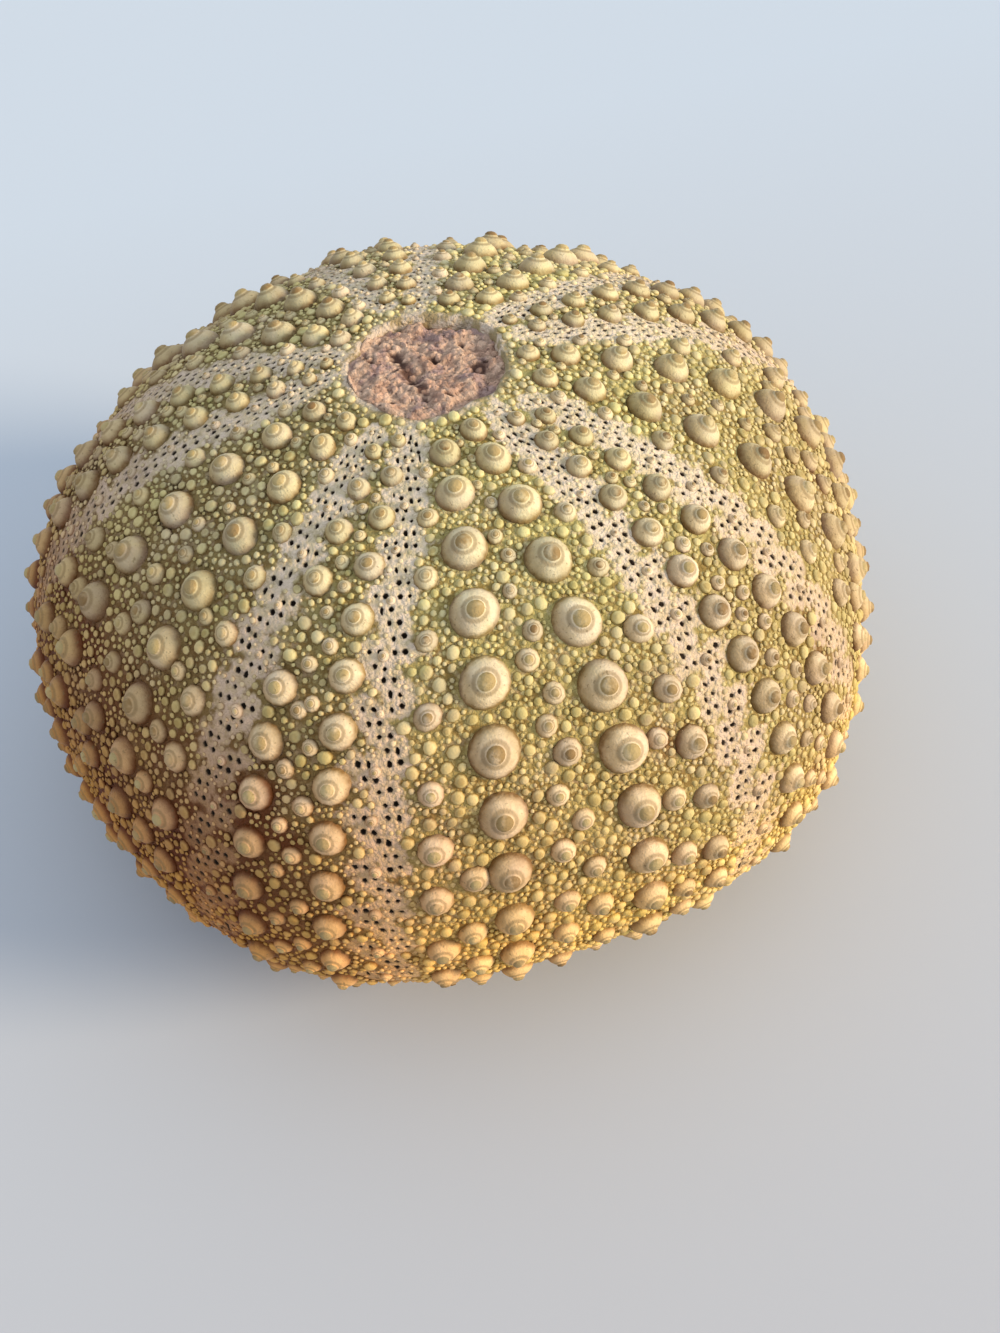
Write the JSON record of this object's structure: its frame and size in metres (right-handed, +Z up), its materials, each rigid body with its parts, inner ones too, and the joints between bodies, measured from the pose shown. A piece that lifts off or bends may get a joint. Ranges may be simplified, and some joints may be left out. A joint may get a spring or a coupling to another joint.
{
  "type": "fossil sea urchin",
  "caption": "Globular fossil sea urchin: a domed five-rayed shell with rows of rounded tubercles, filled with hardened sediment that shows at the crown and mouth.",
  "frame": {"origin": "on the plane that the lowest tubercles stand on, under the axis of the shell", "axes": "+Z up through the opening in the crown, -Y towards the middle of one of the smooth zones between two rays"},
  "size_m": [0.0599, 0.0588, 0.0356],
  "materials": {
    "shell": "matte",
    "sediment": "matte"
  },
  "bodies": {
    "root": {"urchin_shell": "shell", "sediment_fill": "sediment"}
  },
  "joints": []
}
